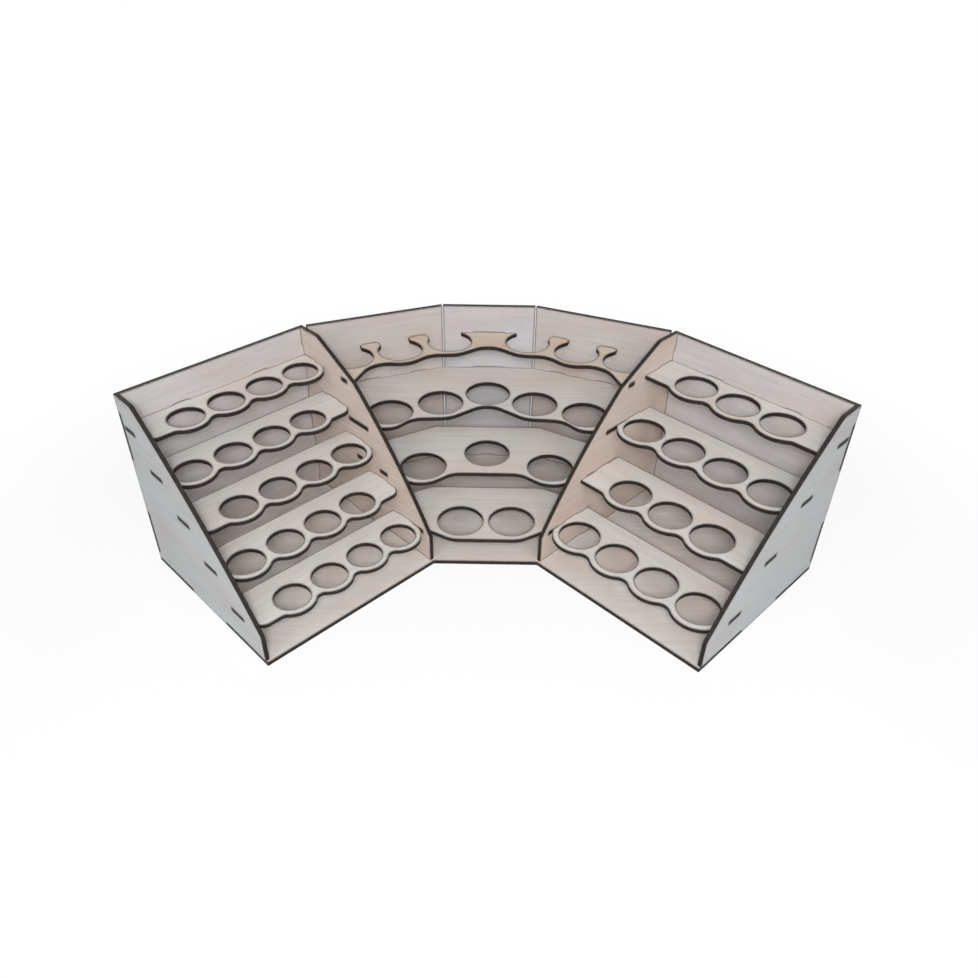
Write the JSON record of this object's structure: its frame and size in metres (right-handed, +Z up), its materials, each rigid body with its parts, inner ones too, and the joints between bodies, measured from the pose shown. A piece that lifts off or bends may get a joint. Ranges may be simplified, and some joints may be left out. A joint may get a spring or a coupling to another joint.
{
  "type": "hobby workstation organizer",
  "caption": "Angled three-bay desktop rack of laser-cut plywood, with stepped shelves of round holes that hold paint bottles and pots in reach.",
  "frame": {"origin": "middle of the bounding box, on the underside of the floor", "axes": "+X to the right as seen from the open front, +Y to the back, +Z up"},
  "size_m": [0.5042, 0.2548, 0.149],
  "materials": {
    "plywood": "bare laser-cut birch plywood with dark burnt edges"
  },
  "bodies": {
    "root": {"floor": "plywood", "outer_side_left": "plywood", "inner_side_left": "plywood", "inner_side_right": "plywood", "outer_side_right": "plywood", "back_left": "plywood", "back_slanted_left": "plywood", "back_middle": "plywood", "back_slanted_right": "plywood", "back_right": "plywood", "shelf_left_1": "plywood", "shelf_left_2": "plywood", "shelf_left_3": "plywood", "shelf_left_4": "plywood", "shelf_left_5": "plywood", "shelf_middle_1": "plywood", "shelf_middle_2": "plywood", "shelf_middle_3": "plywood", "shelf_middle_4": "plywood", "shelf_right_1": "plywood", "shelf_right_2": "plywood", "shelf_right_3": "plywood", "shelf_right_4": "plywood"}
  },
  "joints": []
}
